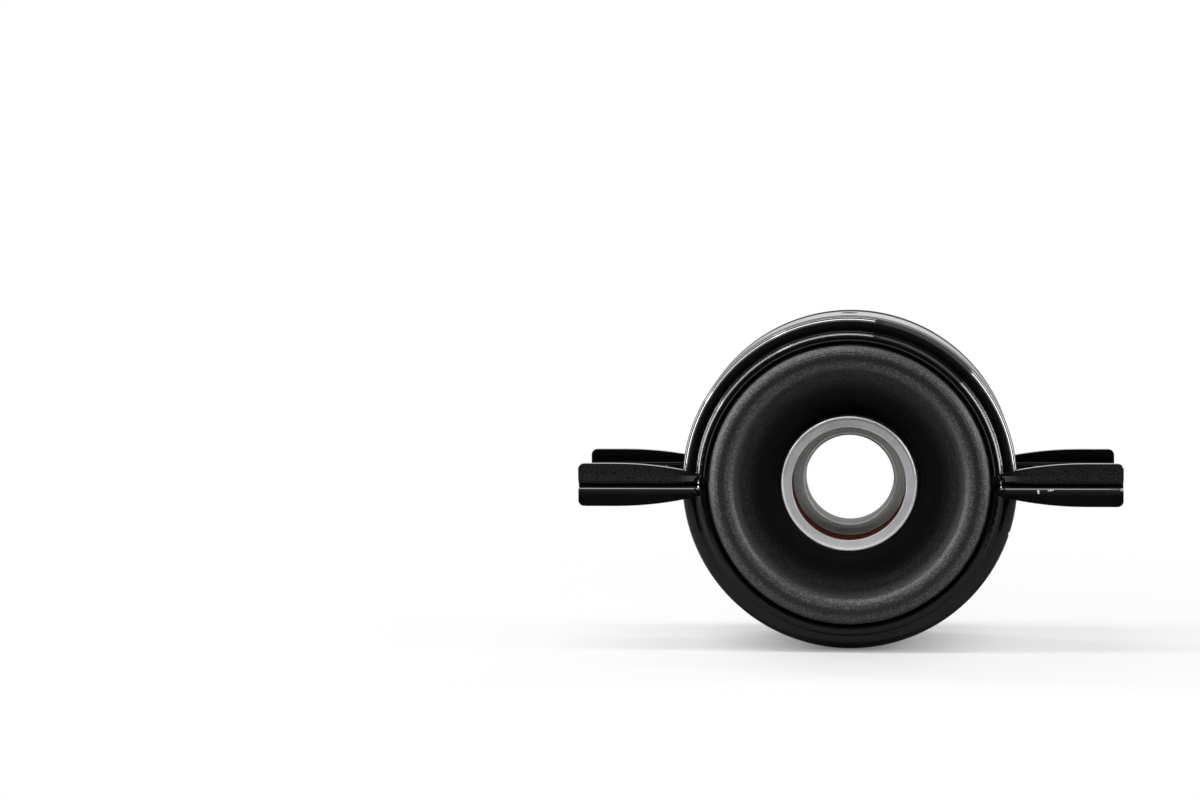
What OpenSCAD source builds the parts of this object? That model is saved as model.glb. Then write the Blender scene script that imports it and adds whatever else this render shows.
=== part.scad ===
// Driveshaft centre bearing: a sealed ball bearing in a steel carrier, hung in a rubber
// cushion that two pressed-steel bracket halves clamp between them.
// The shaft axis lies along Y, the ears along X and +Z is up. The origin is the middle of the bore.
// Sections are drawn as radius (x) against distance along the shaft (y), positive to the front (-Y).

/* [Bracket] */
// Outer radius of the crown
crown_r = 56.3; // [55.5:0.1:60]
// Width of the crown over its two side walls
crown_w = 42; // [40:0.5:48]
// Sheet thickness
sheet_t = 2.2; // [1.8:0.1:2.6]
// Inside radius of every bend in the sheet
bend_r = 1; // [0.6:0.1:1.4]
// Inner radius of the collars
collar_r = 48.8; // [48.2:0.1:49.2]
// How far each collar stands out from the crown's side wall
collar_len = 4; // [3:0.1:5]
// Rounding of the collars' outer edge
collar_edge_r = 1.6; // [0.6:0.1:1.7]
// Diameter of the vent hole in the top of the crown
vent_d = 6; // [3:0.5:9]

/* [Ears] */
// Distance over the two ears' tips
ear_span = 182; // [176:0.2:196]
// Distance between the two bolt holes
bolt_spacing = 150; // [144:1:156]
// Diameter of the bolt holes
bolt_hole_d = 11; // [9:0.5:13]
// Height of the turned edge of each ear above the split
ear_edge_h = 7.2; // [6:0.1:9]
// Length of the full-height stretch of the turned edge, from the tip
ear_edge_len = 12.5; // [8:0.5:18]
// Radius of the sweep that runs the turned edge down to the collar
ear_sweep_r = 120; // [100:5:160]
// Rounding of the turned edge's corner at the tip
ear_corner_r = 2; // [1:0.1:3]
// Diameter of the spot-weld dimples that join the halves
weld_d = 6; // [4:0.5:7]
// Distance of the dimples from the shaft axis, along the ear
weld_x = 66; // [64:0.5:67]
// Distance between the two dimples of an ear, along the shaft
weld_spacing = 30; // [24:1:34]

/* [Cushion] */
// Gap between the cushion's rolled lip and the collar round it
lip_gap = 1.35; // [1:0.05:2]
// Radius of the roll's own section
lip_roll_r = 4.75; // [4:0.05:5.5]
// How far the lip stands proud of the collar's edge
lip_proud = 2; // [0:0.1:2.5]
// Radius of the dished face's section
dish_r = 14; // [12.5:0.1:15]
// How far the dish cuts into the inner side of the rolled lip
dish_bite = 0.1; // [0.05:0.05:0.6]
// Half thickness of the cushion at the bottom of the dish
dish_floor = 11.5; // [11:0.1:13]

/* [Bearing] */
// Bore of the inner ring
bore_d = 30; // [28:0.5:31]
// Outside diameter of the outer ring
bearing_d = 55; // [54:0.5:56]
// Width of both rings
bearing_w = 13; // [12.5:0.1:14]
// Number of balls
ball_count = 11; // [9:1:11]
// Chamfer at the ends of the bore and the outer ring
ring_chamfer = 0.8; // [0.4:0.1:1]

/* [Cage and seals] */
// Thickness of the cage strip
cage_t = 0.7; // [0.5:0.05:0.8]
// Width of the cage strip across the ball circle
cage_w = 3; // [2.6:0.1:3.2]
// Diameter of the cage rivets
rivet_d = 1.2; // [1:0.1:1.4]
// Thickness of each seal
seal_t = 1.2; // [1:0.1:1.3]
// How deep each seal sits below the rings' faces
seal_depth = 0.4; // [0.3:0.1:0.6]

/* [Carrier and dust covers] */
// Wall of the carrier sleeve
carrier_t = 2; // [1.6:0.1:2.2]
// Length of the crimped end of the carrier
crimp_len = 1.5; // [1:0.1:1.6]
// How far the crimp reaches in over the cover's flange
crimp_in = 1.7; // [1.2:0.1:2.2]
// How far the dust covers' flange reaches out from their barrel
cover_flange = 4.25; // [3.8:0.05:4.8]
// Width of the dust covers' face round its hole
cover_lip = 4.05; // [3:0.05:4.5]
// Distance over the two dust covers' faces
cover_span = 42.2; // [36:0.2:46]
// Sheet thickness of the dust covers
cover_t = 1.2; // [0.8:0.1:1.4]

/* [Hidden] */
$fn = 96;
// Gap round a piece that is pressed or bonded in place
fit_gap = 0.05;
// Gap round the cushion in the bracket
seat_gap = 0.15;
// Gap round a piece that turns past another
run_gap = 0.15;
// Gap between balls and raceways
race_gap = 0.1;
// Overshoot of a cutting tool past the surface that it cuts
over = 1;
// Depth of a spot-weld dimple
weld_deep = 0.35;
// Steps of each bent corner where an ear leaves the arch
bend_steps = 8;
// Angle by which such a corner stops short of running out into the sheet
bend_end = 2;

bend_o = bend_r + sheet_t;
crown_in = crown_r - sheet_t;
crown_half = crown_w / 2;
wall_in = crown_half - sheet_t;
crown_straight = wall_in - bend_r - 0.3;
ear_half = crown_half + collar_len;
ear_tip = ear_span / 2;
sweep_x = ear_tip - ear_edge_len;

lip_r = collar_r - lip_gap;
roll_r = lip_r - lip_roll_r;
roll_a = ear_half + lip_proud - lip_roll_r;
carrier_in = bearing_d / 2 + fit_gap;
carrier_out = carrier_in + carrier_t;
cover_r = bearing_d / 2 - cover_flange;
cover_hole_r = cover_r - cover_lip;
cover_face = cover_span / 2;
cover_bend = cover_t + 0.5;
cover_seat = bearing_w / 2 + fit_gap;
crimp_at = cover_seat + cover_t + fit_gap;
carrier_half = crimp_at + crimp_len;
cover_gap_r = cover_r + seat_gap;
dish_a = dish_floor + dish_r;
dish_c = roll_r - lip_roll_r + dish_bite - sqrt(dish_r^2 - (dish_a - roll_a)^2);

// The balls fill four sevenths of the rings' section, as far as seals and cage leave them room
ring_h = (bearing_d - bore_d) / 2;
ball_room = bearing_w - 2 * (seal_depth + seal_t + cage_t + 2 * run_gap);
ball_d = min(ring_h * 4 / 7, ball_room);
ball_r = ball_d / 2;
track_depth = ball_d / 5;
pitch_r = (bore_d + bearing_d) / 4;
inner_land = pitch_r - ball_r + track_depth;
outer_land = pitch_r + ball_r - track_depth;
seal_top = bearing_w / 2 - seal_depth;
seal_floor = seal_top - seal_t;
seal_out = outer_land + 0.85;
pocket_r = ball_r + run_gap;
rivet_head_d = 1.7 * rivet_d;
rivet_head_h = 0.5 * rivet_d;

function ball_name(i) = str("ball_", i);

// Colours of the finishes
paint = [0.03, 0.03, 0.03];
rubber = [0.09, 0.09, 0.09];
zinc = [0.74, 0.75, 0.76];
steel = [0.62, 0.61, 0.59];
seal_red = [0.35, 0.08, 0.05];

// Points of an arc about c, from angle a0 to a1
function arc(c, r, a0, a1) =
    [for (i = [0:bend_steps])
        let (a = a0 + (a1 - a0) * i / bend_steps)
        c + r * [cos(a), sin(a)]];

// Closes a half outline with its mirror image on the other side of the middle
function two_sided(half) =
    concat(half, [for (i = [len(half) - 1:-1:0]) [half[i][0], -half[i][1]]]);

// Turns a section about the shaft axis
module turned(angle = 360) {
    rotate([90, 0, 0])
        rotate_extrude(angle = angle)
            children();
}

// Draws a section and its mirror image on the other side of the middle
module both_faces() {
    children();
    mirror([0, 1])
        children();
}

// Draws a piece on the right and its mirror image on the left
module both_ears() {
    children();
    mirror([1, 0, 0])
        children();
}

// Extrudes an outline of the XZ plane along the shaft, between two distances from the middle
module along_shaft(from, to) {
    translate([0, -from, 0])
        rotate([90, 0, 0])
            linear_extrude(height = to - from)
                children();
}

// A quarter of a bend in the sheet
module quarter_bend(turn) {
    rotate(turn)
        intersection() {
            difference() {
                circle(bend_o);
                circle(bend_r);
            }
            square(bend_o);
        }
}

// Half section of the arch: crown, side wall and collar
module arch_half_section() {
    translate([crown_in, 0])
        square([sheet_t, crown_half - bend_o]);
    translate([crown_r - bend_o, crown_half - bend_o])
        quarter_bend(0);
    translate([collar_r + bend_o, wall_in])
        square([crown_r - collar_r - 2 * bend_o, sheet_t]);
    translate([collar_r + bend_o, wall_in + bend_o])
        quarter_bend(180);
    translate([collar_r, wall_in + bend_o])
        square([sheet_t, ear_half - wall_in - bend_o - collar_edge_r]);
    translate([collar_r, wall_in + bend_o])
        square([sheet_t - collar_edge_r, ear_half - wall_in - bend_o]);
    translate([collar_r + sheet_t - collar_edge_r, ear_half - collar_edge_r])
        circle(collar_edge_r);
}

// Half section of the room inside the arch
module room_half_section() {
    square([crown_r - bend_o, wall_in]);
    square([crown_in, crown_half - bend_o]);
    translate([crown_r - bend_o, crown_half - bend_o])
        circle(bend_r);
    square([collar_r, ear_half + over]);
    difference() {
        translate([collar_r - over, wall_in - over])
            square(bend_o + over);
        translate([collar_r + bend_o, wall_in + bend_o])
            circle(bend_o);
    }
}

// Section of an ear across the shaft: plate and two turned edges
module ear_section() {
    for (side = [0, 1])
        mirror([side, 0]) {
            square([ear_half - bend_o, sheet_t]);
            translate([ear_half - bend_o, bend_o])
                quarter_bend(270);
            translate([ear_half - sheet_t, bend_o])
                square([sheet_t, ear_edge_h - bend_o]);
        }
}

// Outline of an ear seen from the front, which trims its turned edges
module ear_outline() {
    translate([sweep_x, 0])
        square([ear_edge_len - ear_corner_r, ear_edge_h]);
    translate([sweep_x, 0])
        square([ear_edge_len, ear_edge_h - ear_corner_r]);
    translate([ear_tip - ear_corner_r, ear_edge_h - ear_corner_r])
        circle(ear_corner_r);
    intersection() {
        translate([sweep_x, ear_edge_h - ear_sweep_r])
            circle(ear_sweep_r);
        translate([collar_r - over, 0])
            square([sweep_x - collar_r + over, ear_edge_h]);
    }
}

// Centre of the bend where sheet of inner radius r turns out into the ear
function ear_bend(r) = [sqrt((r + bend_o)^2 - bend_o^2), bend_o];
function ear_bend_angle(r) = 180 + asin(bend_o / (r + bend_o));

// The fillet outside the bend, backed by the sheet that it joins
module ear_bend_outline(r) {
    c = ear_bend(r);
    a = ear_bend_angle(r) + bend_end;
    mid = bend_r + sheet_t / 2;
    polygon(concat(arc(c, bend_r, 270 - bend_end, a),
                   [c + mid * [cos(a), sin(a)], c + mid * [cos(225), sin(225)], c - [0, mid]]));
}

// What the bend leaves open below it, at the split
module split_relief_outline(r) {
    c = ear_bend(r);
    a = ear_bend_angle(r) + bend_end;
    low = c + bend_o * [cos(270 - bend_end), sin(270 - bend_end)];
    high = c + bend_o * [cos(a), sin(a)];
    polygon(concat([[r - over, -over], [low[0], -over]], arc(c, bend_o, 270 - bend_end, a),
                   [[r - over, high[1]]]));
}

// The right ear, trimmed to its outline and to the room inside the arch
module ear() {
    difference() {
        intersection() {
            translate([collar_r - over, 0, 0])
                rotate([90, 0, 90])
                    linear_extrude(height = ear_tip - collar_r + over)
                        ear_section();
            along_shaft(-ear_half - over, ear_half + over)
                ear_outline();
        }
        turned()
            both_faces()
                room_half_section();
    }
    along_shaft(-crown_straight, crown_straight)
        ear_bend_outline(crown_in);
    for (end = [[crown_half - sheet_t / 2, ear_half], [-ear_half, sheet_t / 2 - crown_half]])
        along_shaft(end[0], end[1])
            ear_bend_outline(collar_r);
}

// Relief along the split, bolt hole and weld dimples of the right ear
module ear_cuts() {
    along_shaft(-crown_straight, crown_straight)
        split_relief_outline(crown_in);
    for (end = [[wall_in + sheet_t / 4, ear_half + over], [-ear_half - over, -wall_in - sheet_t / 4]])
        along_shaft(end[0], end[1])
            split_relief_outline(collar_r);
    translate([bolt_spacing / 2, 0, -over])
        cylinder(d = bolt_hole_d, h = sheet_t + 2 * over);
    for (side = [-1, 1])
        translate([weld_x, side * weld_spacing / 2, sheet_t - weld_deep])
            cylinder(d = weld_d, h = over);
}

// One pressed half of the bracket, above the split
module bracket_half() {
    difference() {
        union() {
            turned(180)
                both_faces()
                    arch_half_section();
            both_ears()
                ear();
        }
        both_ears()
            ear_cuts();
    }
}

module upper_bracket() {
    color(paint)
        difference() {
            bracket_half();
            translate([0, 0, crown_in - over])
                cylinder(d = vent_d, h = sheet_t + 2 * over);
        }
}

module lower_bracket() {
    color(paint)
        mirror([0, 0, 1])
            bracket_half();
}

// Half section of the cushion: keyed rim, rolled lip, dished face and hub
module cushion_half_section() {
    rim_r = crown_in - seat_gap;
    rim_a = wall_in - seat_gap;
    corner = bend_r + seat_gap;
    difference() {
        union() {
            square([rim_r, rim_a - corner]);
            square([rim_r - corner, rim_a]);
            translate([rim_r - corner, rim_a - corner])
                circle(corner);
            square([lip_r, roll_a]);
            translate([roll_r, roll_a])
                circle(lip_roll_r);
        }
        translate([0, -over])
            square([carrier_out + fit_gap, carrier_half + fit_gap + over]);
        square([cover_gap_r, dish_a + over]);
        translate([0, dish_floor])
            square([dish_c, dish_a]);
        translate([dish_c, dish_a])
            circle(dish_r);
    }
}

module rubber_cushion() {
    color(rubber)
        turned()
            both_faces()
                cushion_half_section();
}

module bearing_carrier() {
    color(zinc)
        turned()
            both_faces() {
                translate([carrier_in, 0])
                    square([carrier_t, carrier_half]);
                translate([carrier_in - crimp_in, crimp_at])
                    square([crimp_in + carrier_t, crimp_len]);
            }
}

// Section of a dust cover: holed face, rounded shoulder, barrel and flange
module cover_section() {
    translate([cover_hole_r, cover_face - cover_t])
        square([cover_lip - cover_bend, cover_t]);
    translate([cover_r - cover_bend, cover_face - cover_bend])
        intersection() {
            difference() {
                circle(cover_bend);
                circle(cover_bend - cover_t);
            }
            square(cover_bend);
        }
    translate([cover_r - cover_t, cover_seat])
        square([cover_t, cover_face - cover_bend - cover_seat]);
    translate([cover_r - cover_t, cover_seat])
        square([carrier_in - fit_gap - cover_r + cover_t, cover_t]);
}

module front_dust_cover() {
    color(zinc)
        turned()
            cover_section();
}

module rear_dust_cover() {
    color(zinc)
        turned()
            mirror([0, 1])
                cover_section();
}

// Section of the ball track with its running gap
module track_section() {
    translate([pitch_r, 0])
        circle(ball_r + race_gap);
}

module bearing_outer_ring() {
    out = bearing_d / 2;
    half = bearing_w / 2;
    color(steel)
        turned()
            difference() {
                polygon(two_sided([[outer_land, seal_floor - fit_gap],
                                   [seal_out + fit_gap, seal_floor - fit_gap],
                                   [seal_out + fit_gap, half],
                                   [out - ring_chamfer, half], [out, half - ring_chamfer]]));
                track_section();
            }
}

module bearing_inner_ring() {
    in = bore_d / 2;
    half = bearing_w / 2;
    color(steel)
        turned()
            difference() {
                polygon(two_sided([[in, half - ring_chamfer], [in + ring_chamfer, half],
                                   [inner_land, half]]));
                track_section();
            }
}

// Section of a seal: web between a rounded bead in the outer ring and a lip at the inner ring
module seal_section() {
    lip = inner_land + run_gap;
    mid = (seal_floor + seal_top) / 2;
    web = 0.6 * seal_t;
    translate([lip + seal_t / 2, mid - web / 2])
        square([seal_out - lip - seal_t, web]);
    translate([lip + seal_t / 2, mid])
        circle(seal_t / 2);
    translate([seal_out - seal_t / 2, mid])
        circle(seal_t / 2);
}

module front_seal() {
    color(seal_red)
        turned()
            seal_section();
}

module rear_seal() {
    color(seal_red)
        turned()
            mirror([0, 1])
                seal_section();
}

// Places a piece at each ball, or midway between balls with a shift of 0.5
module round_the_balls(shift = 0) {
    for (i = [1:ball_count])
        rotate([0, -360 * (i - 1 + shift) / ball_count, 0])
            translate([pitch_r, 0, 0])
                children();
}

module rivet_shape(gap = 0) {
    rotate([90, 0, 0])
        cylinder(d = rivet_d + 2 * gap, h = 2 * cage_t, center = true, $fn = 24);
}

// One half of the pressed cage: a flat strip with an arched pocket over each ball
module cage_half() {
    difference() {
        intersection() {
            union() {
                turned()
                    translate([pitch_r - cage_w / 2, 0])
                        square([cage_w, cage_t]);
                round_the_balls()
                    rotate([0, 90, 0])
                        cylinder(r = pocket_r + cage_t, h = 2 * cage_w, center = true, $fn = 32);
            }
            turned()
                translate([pitch_r - cage_w / 2, 0])
                    square([cage_w, pocket_r + cage_t + over]);
        }
        round_the_balls()
            rotate([0, 90, 0])
                cylinder(r = pocket_r, h = 3 * cage_w, center = true, $fn = 32);
        round_the_balls(0.5)
            rivet_shape(fit_gap);
    }
}

module front_cage_half() {
    color(steel)
        cage_half();
}

module rear_cage_half() {
    color(steel)
        mirror([0, 1, 0])
            cage_half();
}

module cage_rivets() {
    color(steel)
        round_the_balls(0.5) {
            rivet_shape();
            for (side = [-1, 1])
                translate([0, side * (cage_t + rivet_head_h / 2), 0])
                    rotate([90, 0, 0])
                        cylinder(d = rivet_head_d, h = rivet_head_h, center = true, $fn = 24);
        }
}

module ball(i) {
    color(steel)
        rotate([0, -360 * (i - 1) / ball_count, 0])
            translate([pitch_r, 0, 0])
                sphere(ball_r, $fn = 36);
}

upper_bracket();
lower_bracket();
rubber_cushion();
bearing_carrier();
front_dust_cover();
rear_dust_cover();
bearing_outer_ring();
bearing_inner_ring();
front_seal();
rear_seal();
front_cage_half();
rear_cage_half();
cage_rivets();
for (i = [1:ball_count])
    ball(i);
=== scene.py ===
"""Driveshaft centre bearing: finishes, turned cushion, cage rivets and studio stage on the fixed frame."""

import math

import bmesh
import bpy
from bpy.props import FloatProperty, FloatVectorProperty, IntProperty, PointerProperty
from mathutils import Matrix, Vector


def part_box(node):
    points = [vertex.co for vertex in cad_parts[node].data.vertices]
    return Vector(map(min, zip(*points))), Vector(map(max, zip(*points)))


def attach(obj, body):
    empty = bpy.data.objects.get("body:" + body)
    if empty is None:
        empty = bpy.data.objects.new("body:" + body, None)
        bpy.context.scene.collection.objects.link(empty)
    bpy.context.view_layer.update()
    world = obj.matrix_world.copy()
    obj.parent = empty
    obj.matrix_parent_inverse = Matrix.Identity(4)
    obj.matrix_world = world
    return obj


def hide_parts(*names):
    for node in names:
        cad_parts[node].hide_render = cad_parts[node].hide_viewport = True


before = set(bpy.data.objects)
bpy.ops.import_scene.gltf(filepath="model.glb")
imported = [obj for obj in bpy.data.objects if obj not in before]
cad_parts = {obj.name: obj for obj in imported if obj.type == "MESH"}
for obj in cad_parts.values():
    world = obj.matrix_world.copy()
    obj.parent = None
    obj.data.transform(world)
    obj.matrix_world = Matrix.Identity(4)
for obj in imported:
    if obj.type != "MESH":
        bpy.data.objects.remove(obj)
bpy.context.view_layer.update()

bl_info = {
    "name": "Driveshaft Centre Bearing",
    "version": (1, 0, 0),
    "blender": (4, 5, 0),
    "location": "3D View > Sidebar > Centre Bearing",
    "description": "Dresses the packed centre bearing and sets it on a pale studio floor",
    "category": "Object",
}

CUSHION_LOW, CUSHION_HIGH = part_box("rubber_cushion")
FRONT_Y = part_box("upper_bracket")[0].y
FLOOR_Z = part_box("lower_bracket")[0].z
BALLS = [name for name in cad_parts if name.startswith("ball_")]

# Width of the photograph in pixels, and the camera's sensor width in millimetres
FRAME_W = 1200
SENSOR_W = 36.0
# Nearest and furthest distance that the camera sees, in metres
CLIP_NEAR = 0.05
CLIP_FAR = 60.0
WHITE = (1.0, 1.0, 1.0, 1.0)

# Ranges over which the bracket's finish changes, in metres across, along and out from the shaft, and up
EAR_ACROSS = (0.05, 0.06)
# The pale powder on the ears, partly dust and partly painted sheen, lies only on their front faces
POWDER_AND_SHEEN_ALONG = (0.01, -0.01)
# Over this height the lower half's coat rises to full along the split, painting a bright highlight line
# there
TOP_EDGE_UP = (-0.0045, -0.0015)
INNER_BEND_RISE = (0.0185, 0.0195)
INNER_BEND_FALL = (0.0236, 0.023)
INNER_BEND_UP = (0.0055, 0.0045)
UNDER_BEND_RISE = (0.0212, 0.0218)
UNDER_BEND_UP = (0.0038, 0.003)
SPLIT_UP = (-0.0002, 0.0)
CROWN_OUT = (0.0552, 0.0558)
CROWN_UP = (0.012, 0.02)
REAR_BAND_RISE = (0.006, 0.009)
REAR_BAND_FALL = (0.0182, 0.0172)
FRONT_BAND_MIDDLE = 0.0155
FRONT_BAND_HALF = (0.003, 0.0015)
ROOT_RISE_OUT = (0.0509, 0.0512)
ROOT_FALL_OUT = (0.0524, 0.0521)
ROOT_RISE_ALONG = (0.0205, 0.0208)
ROOT_FALL_ALONG = (0.0226, 0.0222)
ROOT_UP = (0.018, 0.036)
# How much of the coat's gloss is taken off in the bends, on the crown's bands and at the collars' root,
# which paints shade into the bends and the fillet and dark bands into the crown's reflection
BEND_DULL = 0.92
CROWN_DULL = 0.9
FRONT_BAND_SHARE = 0.85
ROOT_DULL = 0.9

# Chips in the paint, each as its place and its size in metres
UPPER_CHIPS = [((0.091, -0.025, 0.0062), 0.0004)]
LOWER_CHIPS = [
    ((0.0629, -0.0248, -0.002), 0.00045),
    ((0.063, -0.0249, -0.0026), 0.0003),
    ((0.0663, -0.0247, -0.0018), 0.0003),
    ((0.067, -0.0246, -0.0016), 0.0004),
    ((0.0677, -0.0245, -0.0014), 0.0003),
    ((0.0905, -0.025, -0.0012), 0.0008),
    ((0.0535, -0.0189, -0.017), 0.0007),
]

# Lathe rings per metre on the ground bearing steel
GROUND_RINGS = 7000.0
# The rings run on along the shaft this much faster than outwards
RING_SLANT = 1.31

# Radii at which the turned finishes change, in metres
# Inside this range the cushion's dish is painted in shade
LIP_OUT = (0.03, 0.0395)
# Radius and half widths of the painted shade along the lip's crest
CREST_R = 0.0429
CREST_HALF = (0.0018, 0.0003)
COVER_SHOULDER_R = 0.0222
SHOULDER_WIDTH = 0.0006
# Over these radii the bore's edge gets a painted highlight and the bore a painted shade
BORE_EDGE_OUT = (0.0158, 0.0155)
BORE_OUT = (0.0151, 0.01503)

# Steps of the turned section's arcs and of its rounded corners
ARC_STEPS = 30
CORNER_STEPS = 5
# The crease and the rim's corner are rounder than the other moulded edges, by these factors
CREASE_EASE = 3
RIM_EASE = 2.6
# Sides of a rivet's shank and heads, and rings of its heads
SHANK_SIDES = 16
HEAD_RINGS = 10

# Angles of an arch's strips from upright in degrees, from the left foot to the right one
STRIP_ANGLES = (-82, -46, -11, 33, 72)
# Each arch's place along the shaft in metres, and its strips' shares of the arch light
ARCHES = {
    "front_arch": (-0.42, (0.45, 0.5, 0.5, 0.2, 0.55)),
    "top_arch": (-0.09, (4.5, 3.0, 3.6, 0.2, 4.8)),
    "rear_arch": (0.42, (2.0, 1.4, 1.4, 0.2, 2.6)),
}

# The floor disc, and how far it lies under the bracket so that the two don't flicker
FLOOR_R = 0.34
FLOOR_SIDES = 96
FLOOR_DROP = 0.0002
# Ranges over which the floor runs out into white, in metres
FLOOR_AWAY = (0.05, 0.28)
FOOT_AWAY = (0.01, 0.06)
FLOOR_FRONT = (-0.03, -0.11)
MIRROR_AWAY = (0.1, 0.3)
MIRROR_BEHIND = (-0.1, 0.2)
# The foot's painted shadow, where less white is mixed into the floor, is drawn out along the shaft, and
# lies a little behind the middle
FOOT_STRETCH = (1.0, 0.5, 0.0)
FOOT_SHIFT = (0.0, -0.01, 0.0)


class CushionSettings(bpy.types.PropertyGroup):
    """Sizes of the moulded rubber cushion, as radius and distance along the shaft."""

    rim_r: FloatProperty(
        name="Rim radius",
        description="Outer radius of the rim that is keyed into the bracket's crown",
        default=CUSHION_HIGH.x,
        unit="LENGTH",
    )
    rim_half: FloatProperty(
        name="Rim half width",
        description="Half width of that rim along the shaft",
        default=0.01865,
        unit="LENGTH",
    )
    crest: FloatProperty(
        name="Lip crest",
        description="Distance of the rolled lip's crest from the middle of the bore",
        default=-CUSHION_LOW.y,
        unit="LENGTH",
    )
    lip_r: FloatProperty(
        name="Lip radius",
        description="Outer radius of the rolled lip",
        default=0.04745,
        unit="LENGTH",
    )
    roll_r: FloatProperty(
        name="Roll radius",
        description="Radius of the rolled lip's own section",
        default=0.00475,
        unit="LENGTH",
    )
    dish_bite: FloatProperty(
        name="Dish bite",
        description="How far the dish cuts into the inner side of the rolled lip",
        default=0.0001,
        unit="LENGTH",
    )
    dish_r: FloatProperty(
        name="Dish radius",
        description="Radius of the dished face's section",
        default=0.014,
        unit="LENGTH",
    )
    floor: FloatProperty(
        name="Dish floor",
        description="Half thickness of the cushion at the bottom of the dish",
        default=0.0115,
        unit="LENGTH",
    )
    mouth_r: FloatProperty(
        name="Mouth radius",
        description="Radius of the opening round the dust cover's barrel",
        default=0.0234,
        unit="LENGTH",
    )
    seat_r: FloatProperty(
        name="Seat radius",
        description="Radius of the seat that is bonded to the carrier",
        default=0.0296,
        unit="LENGTH",
    )
    seat_half: FloatProperty(
        name="Seat half length",
        description="Half length of that seat",
        default=0.00935,
        unit="LENGTH",
    )
    rounding: FloatProperty(
        name="Edge rounding",
        description="Radius of the moulded edges",
        default=0.0004,
        unit="LENGTH",
    )
    steps: IntProperty(
        name="Steps",
        description="Number of steps round the cushion",
        default=192,
        min=48,
        max=384,
    )


class RivetSettings(bpy.types.PropertyGroup):
    """Sizes of the rivets that join the two halves of the cage."""

    count: IntProperty(
        name="Rivets",
        description="Number of rivets, one between each two balls",
        default=len(BALLS),
        min=3,
    )
    circle_r: FloatProperty(
        name="Circle radius",
        description="Radius of the circle that the rivets stand on",
        default=0.02125,
        unit="LENGTH",
    )
    shank_r: FloatProperty(
        name="Shank radius",
        description="Radius of a rivet's shank",
        default=0.0006,
        unit="LENGTH",
    )
    head_r: FloatProperty(
        name="Head radius",
        description="Radius of a rivet's domed heads",
        default=0.00102,
        unit="LENGTH",
    )
    head_h: FloatProperty(
        name="Head height",
        description="Height of a domed head above the cage strip",
        default=0.0006,
        unit="LENGTH",
    )
    grip: FloatProperty(
        name="Grip",
        description="Thickness of the two cage strips together",
        default=0.0014,
        unit="LENGTH",
    )


class FinishSettings(bpy.types.PropertyGroup):
    """Colours of the finishes."""

    paint: FloatVectorProperty(
        name="Paint",
        description="Black paint of the bracket",
        subtype="COLOR",
        default=(0.002, 0.002, 0.0021),
    )
    bare_steel: FloatVectorProperty(
        name="Bare steel",
        description="Steel that shows where an edge of the paint is worn",
        subtype="COLOR",
        default=(0.62, 0.62, 0.62),
    )
    primer: FloatVectorProperty(
        name="Primer",
        description="Pale primer that shows where the paint is chipped",
        subtype="COLOR",
        default=(0.8, 0.8, 0.8),
    )
    # Also the colour of the painted sheen on the ears' front faces
    dust: FloatVectorProperty(
        name="Dust",
        description="Pale dust that lies on the finishes",
        subtype="COLOR",
        default=(0.16, 0.155, 0.15),
    )
    rubber: FloatVectorProperty(
        name="Rubber",
        description="Moulded rubber of the cushion",
        subtype="COLOR",
        default=(0.0285, 0.0285, 0.0285),
    )
    zinc: FloatVectorProperty(
        name="Zinc",
        description="Bright plating of the dust covers",
        subtype="COLOR",
        default=(0.86, 0.865, 0.88),
    )
    carrier: FloatVectorProperty(
        name="Carrier steel",
        description="Drawn steel of the sleeve behind the covers",
        subtype="COLOR",
        default=(0.48, 0.48, 0.48),
    )
    bearing: FloatVectorProperty(
        name="Bearing steel",
        description="Ground steel of the rings",
        subtype="COLOR",
        default=(0.5, 0.49, 0.46),
    )
    # Colour of the painted highlight on the chamfer at the edge of the bore
    bore_edge_highlight: FloatVectorProperty(
        name="Bore edge",
        description="Bright chamfer at the edge of the bore",
        subtype="COLOR",
        default=(0.9, 0.9, 0.88),
    )
    balls: FloatVectorProperty(
        name="Balls",
        description="Polished steel of the balls",
        subtype="COLOR",
        default=(0.78, 0.78, 0.79),
    )
    cage: FloatVectorProperty(
        name="Cage strip",
        description="Pressed steel of the cage and its rivets",
        subtype="COLOR",
        default=(0.5, 0.49, 0.47),
    )
    seal: FloatVectorProperty(
        name="Seal",
        description="Red-brown rubber of the seals",
        subtype="COLOR",
        default=(0.26, 0.045, 0.02),
    )


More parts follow.
